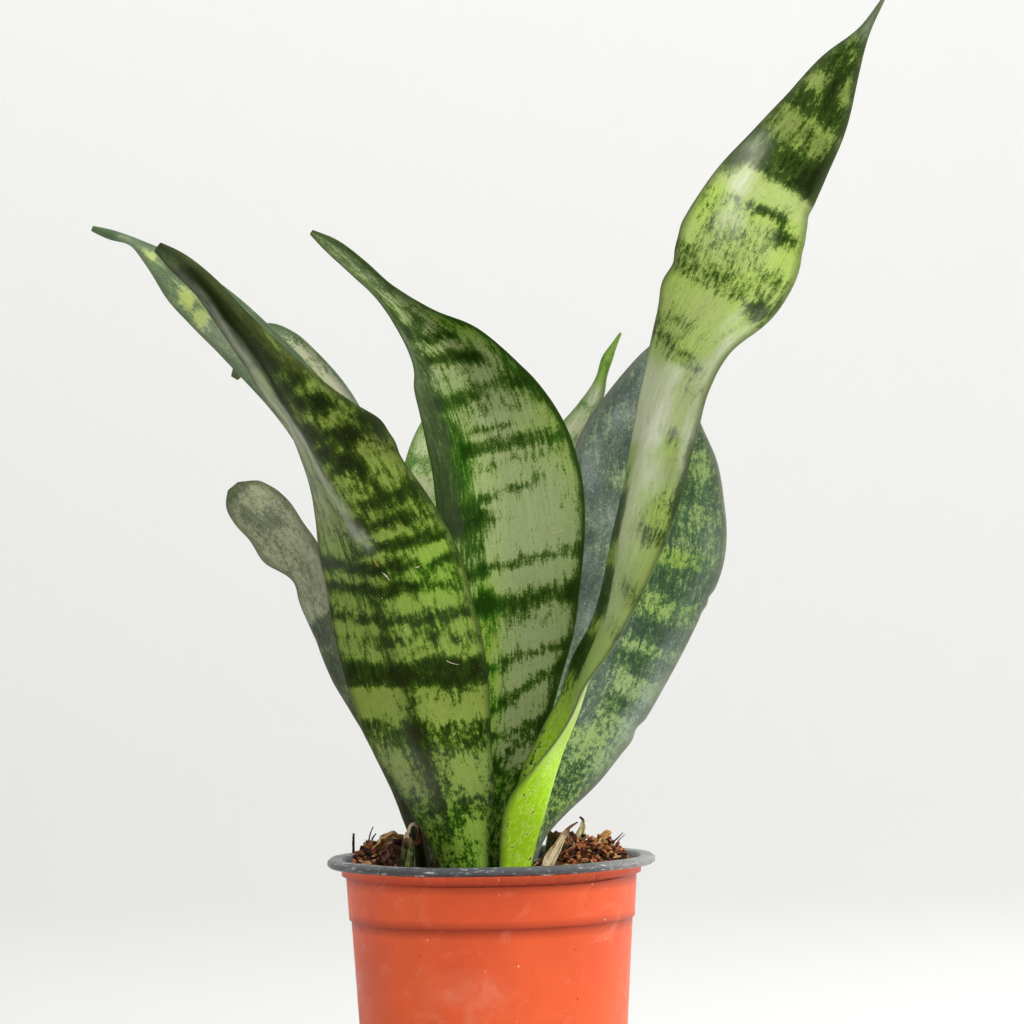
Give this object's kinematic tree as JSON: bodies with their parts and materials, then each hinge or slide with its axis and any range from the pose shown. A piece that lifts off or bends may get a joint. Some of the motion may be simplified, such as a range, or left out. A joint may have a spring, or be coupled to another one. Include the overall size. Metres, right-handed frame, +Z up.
{
  "type": "potted snake plant",
  "caption": "Broad-leaved snake plant with upright, twisting banded leaves rising from potting mix in a thin tapered round nursery pot with a rolled rim.",
  "frame": {"origin": "centre of the pot's base, on the surface it stands on", "axes": "+Z up along the pot's axis; -Y towards the side the leaves are seen from, with the tallest leaf leaning to +X"},
  "size_m": [0.3204, 0.1308, 0.4559],
  "materials": {
    "pot_plastic": "thin formed plastic, terracotta orange outside, dark grey inside and on the rim",
    "potting_mix": "crumbly dark bark and fibre",
    "rhizome": "pale orange-brown underground stem",
    "leaf": "waxy leaf, pale green with toothed dark green cross bands",
    "young_leaf": "waxy young leaf, lime green with faint bands",
    "cut_leaf": "dull, nearly black-green stump of an old leaf",
    "dry_sheath": "dry papery straw-coloured leaf sheath",
    "bark": "rough brown bark and twig"
  },
  "bodies": {
    "root": {"nursery_pot": "pot_plastic", "potting_mix": "potting_mix", "rhizome": "rhizome", "leaf_front_left": "leaf", "leaf_centre": "leaf", "leaf_tall_right": "leaf", "leaf_back_right": "leaf", "leaf_back": "leaf", "leaf_far_left": "leaf", "leaf_drooping": "leaf", "leaf_low_left": "leaf", "leaf_young": "young_leaf", "cut_leaf_stub_left": "cut_leaf", "cut_leaf_stub_right": "cut_leaf", "dry_sheath_straw": "dry_sheath", "dry_sheath_hooked": "dry_sheath", "dry_sheath_curled": "dry_sheath", "dry_sheath_torn": "dry_sheath", "twig_upright": "bark", "twig_leaning_left": "bark", "twig_leaning_right": "bark", "bark_chip_back_right": "bark", "bark_chip_right": "bark", "bark_chip_front_right": "bark", "bark_chip_left": "bark", "bark_chip_back": "bark"}
  },
  "joints": []
}
